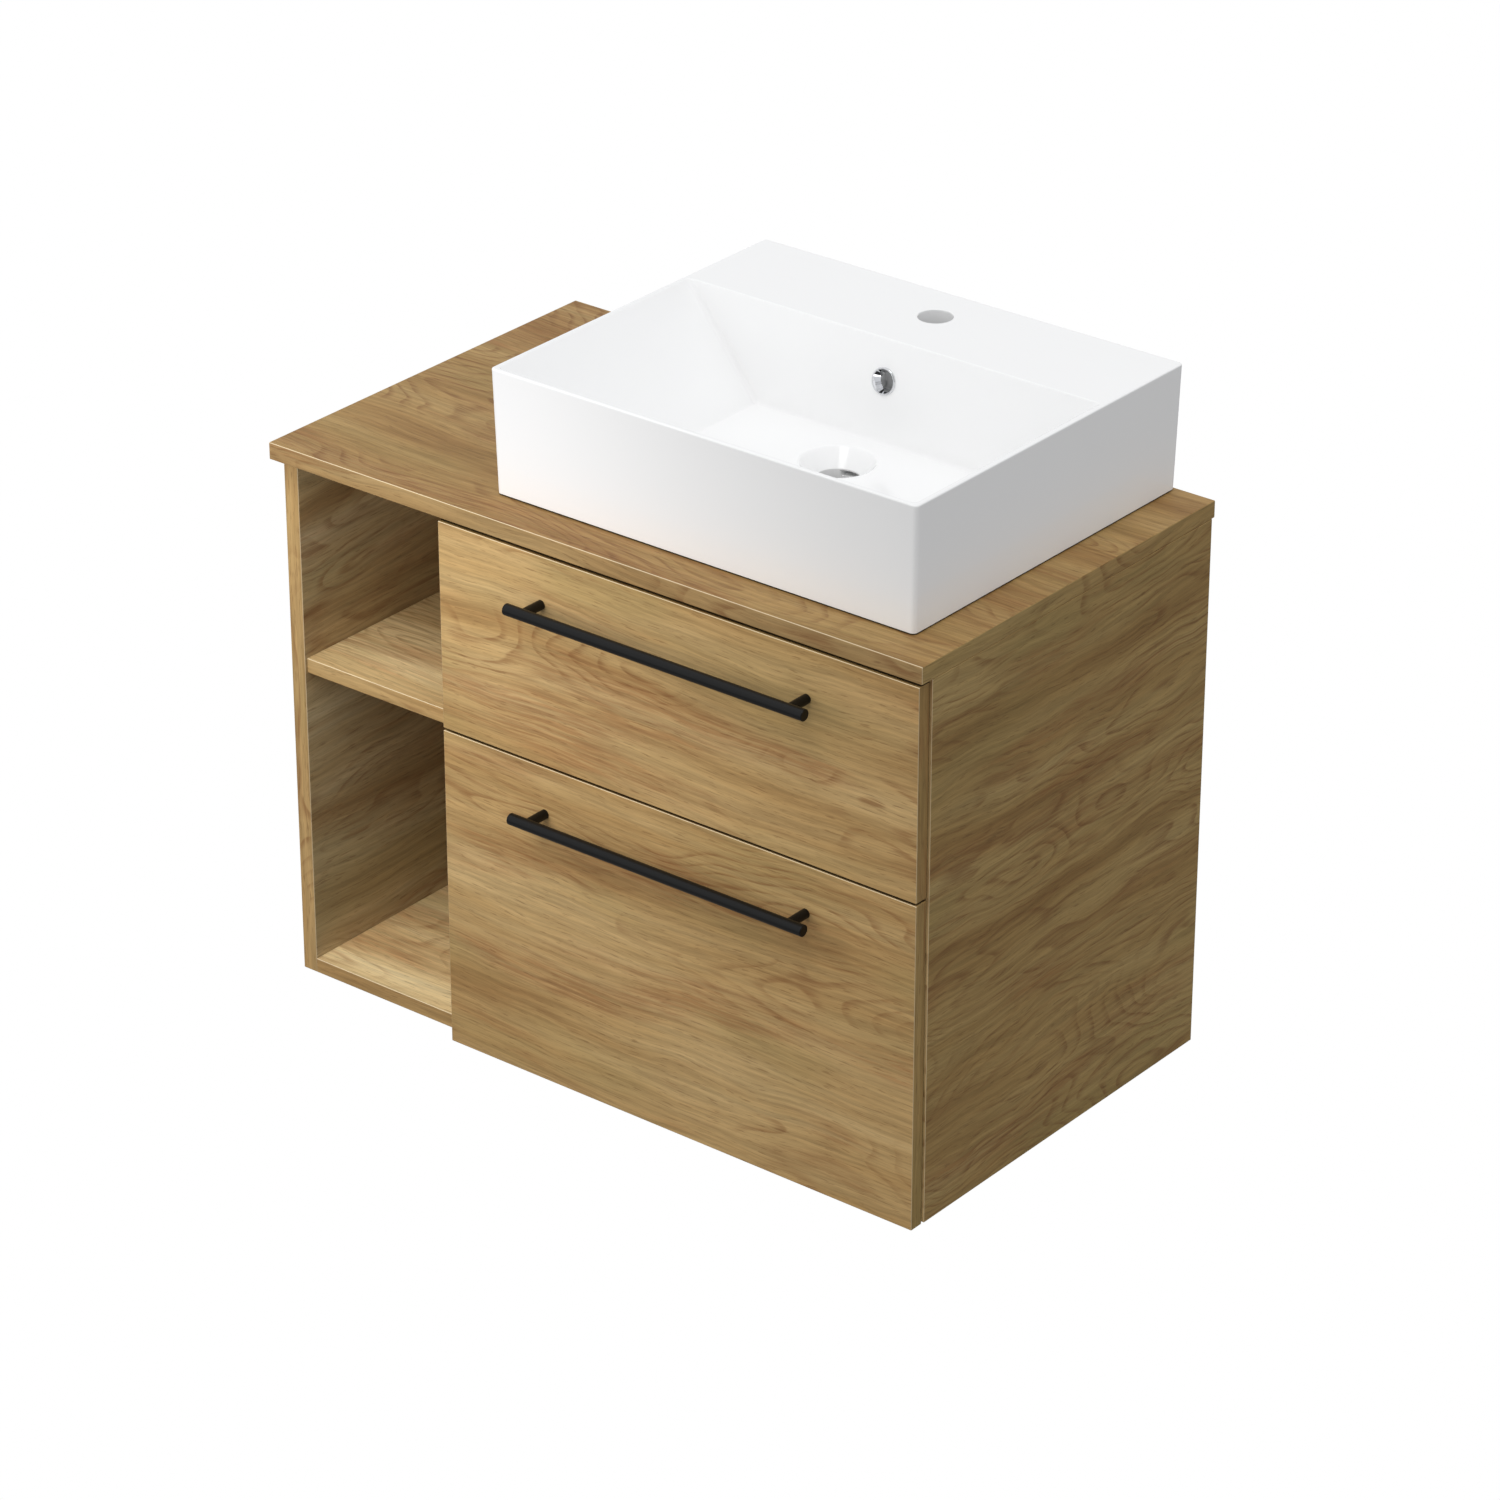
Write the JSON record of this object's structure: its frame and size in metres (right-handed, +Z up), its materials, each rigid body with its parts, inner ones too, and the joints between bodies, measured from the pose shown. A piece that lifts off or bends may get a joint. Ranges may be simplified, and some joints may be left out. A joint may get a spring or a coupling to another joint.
{
  "type": "vessel sink on vanity",
  "caption": "Rectangular ceramic basin on a wall-hung oak-laminate vanity with an open side niche and two handled drawers.",
  "frame": {"origin": "on the wall, at the centre of the four screw holes of the two wall plates that carry the cabinet", "axes": "+X to the right seen from the front, +Y into the wall, +Z up; the front faces -Y"},
  "size_m": [0.8, 0.499, 0.7248],
  "materials": {
    "oak": "matt oak decor laminate",
    "drawer_board": "matt linen-grey laminate",
    "beech": "raw beech",
    "ceramic": "gloss white glaze",
    "chrome": "polished",
    "black_metal": "matt black powder coat",
    "zinc_steel": "zinc plated",
    "die_cast": "as cast",
    "liner": "moulded grey",
    "bumper": "clear soft polyurethane",
    "seal": "silicone bead"
  },
  "bodies": {
    "cabinet": {"worktop": "oak", "left_side_panel": "oak", "divider_panel": "oak", "right_side_panel": "oak", "niche_bottom": "oak", "niche_shelf": "oak", "niche_back_panel": "oak", "drawer_bay_bottom": "oak", "top_front_rail": "oak", "top_back_rail": "oak", "lower_back_rail": "oak", "carcass_dowels": "beech", "worktop_screws": "zinc_steel", "left_hanger_housing": "die_cast", "right_hanger_housing": "die_cast", "left_hanger_hook": "zinc_steel", "right_hanger_hook": "zinc_steel", "hanger_fixing_screws": "zinc_steel", "hanger_adjusting_screws": "zinc_steel", "left_wall_plate": "zinc_steel", "right_wall_plate": "zinc_steel", "drawer_bumpers": "bumper", "runner_rail_screws": "zinc_steel", "basin": "ceramic", "basin_seal": "seal", "overflow_ring": "chrome", "upper_left_runner_rail": "zinc_steel", "upper_right_runner_rail": "zinc_steel", "lower_left_runner_rail": "zinc_steel", "lower_right_runner_rail": "zinc_steel"},
    "upper_drawer": {"upper_drawer_front": "oak", "upper_drawer_left_side": "drawer_board", "upper_drawer_right_side": "drawer_board", "upper_drawer_bottom": "drawer_board", "upper_drawer_back": "drawer_board", "upper_drawer_dowels": "beech", "upper_handle_bar": "black_metal", "upper_handle_posts": "black_metal", "upper_handle_screws": "zinc_steel", "upper_left_runner_slide": "zinc_steel", "upper_right_runner_slide": "zinc_steel", "upper_drawer_runner_screws": "zinc_steel", "upper_drawer_trap_liner": "liner"},
    "lower_drawer": {"lower_drawer_front": "oak", "lower_drawer_left_side": "drawer_board", "lower_drawer_right_side": "drawer_board", "lower_drawer_bottom": "drawer_board", "lower_drawer_back": "drawer_board", "lower_drawer_dowels": "beech", "lower_handle_bar": "black_metal", "lower_handle_posts": "black_metal", "lower_handle_screws": "zinc_steel", "lower_left_runner_slide": "zinc_steel", "lower_right_runner_slide": "zinc_steel", "lower_drawer_runner_screws": "zinc_steel"},
    "upper_runner_middles": {"upper_left_runner_middle": "zinc_steel", "upper_right_runner_middle": "zinc_steel"},
    "lower_runner_middles": {"lower_left_runner_middle": "zinc_steel", "lower_right_runner_middle": "zinc_steel"}
  },
  "joints": [
    {"name": "upper_drawer_slide", "type": "slide", "parent": "cabinet", "child": "upper_drawer", "axis": [0, -1, 0], "range_m": [0, 0.38]},
    {"name": "upper_runner_stage", "type": "slide", "parent": "cabinet", "child": "upper_runner_middles", "axis": [0, -1, 0], "range_m": [0, 0.19]},
    {"name": "lower_drawer_slide", "type": "slide", "parent": "cabinet", "child": "lower_drawer", "axis": [0, -1, 0], "range_m": [0, 0.38]},
    {"name": "lower_runner_stage", "type": "slide", "parent": "cabinet", "child": "lower_runner_middles", "axis": [0, -1, 0], "range_m": [0, 0.19]}
  ],
  "couplings": [
    {"joint": "upper_runner_stage", "follows": "upper_drawer_slide", "ratio": 0.5},
    {"joint": "lower_runner_stage", "follows": "lower_drawer_slide", "ratio": 0.5}
  ]
}
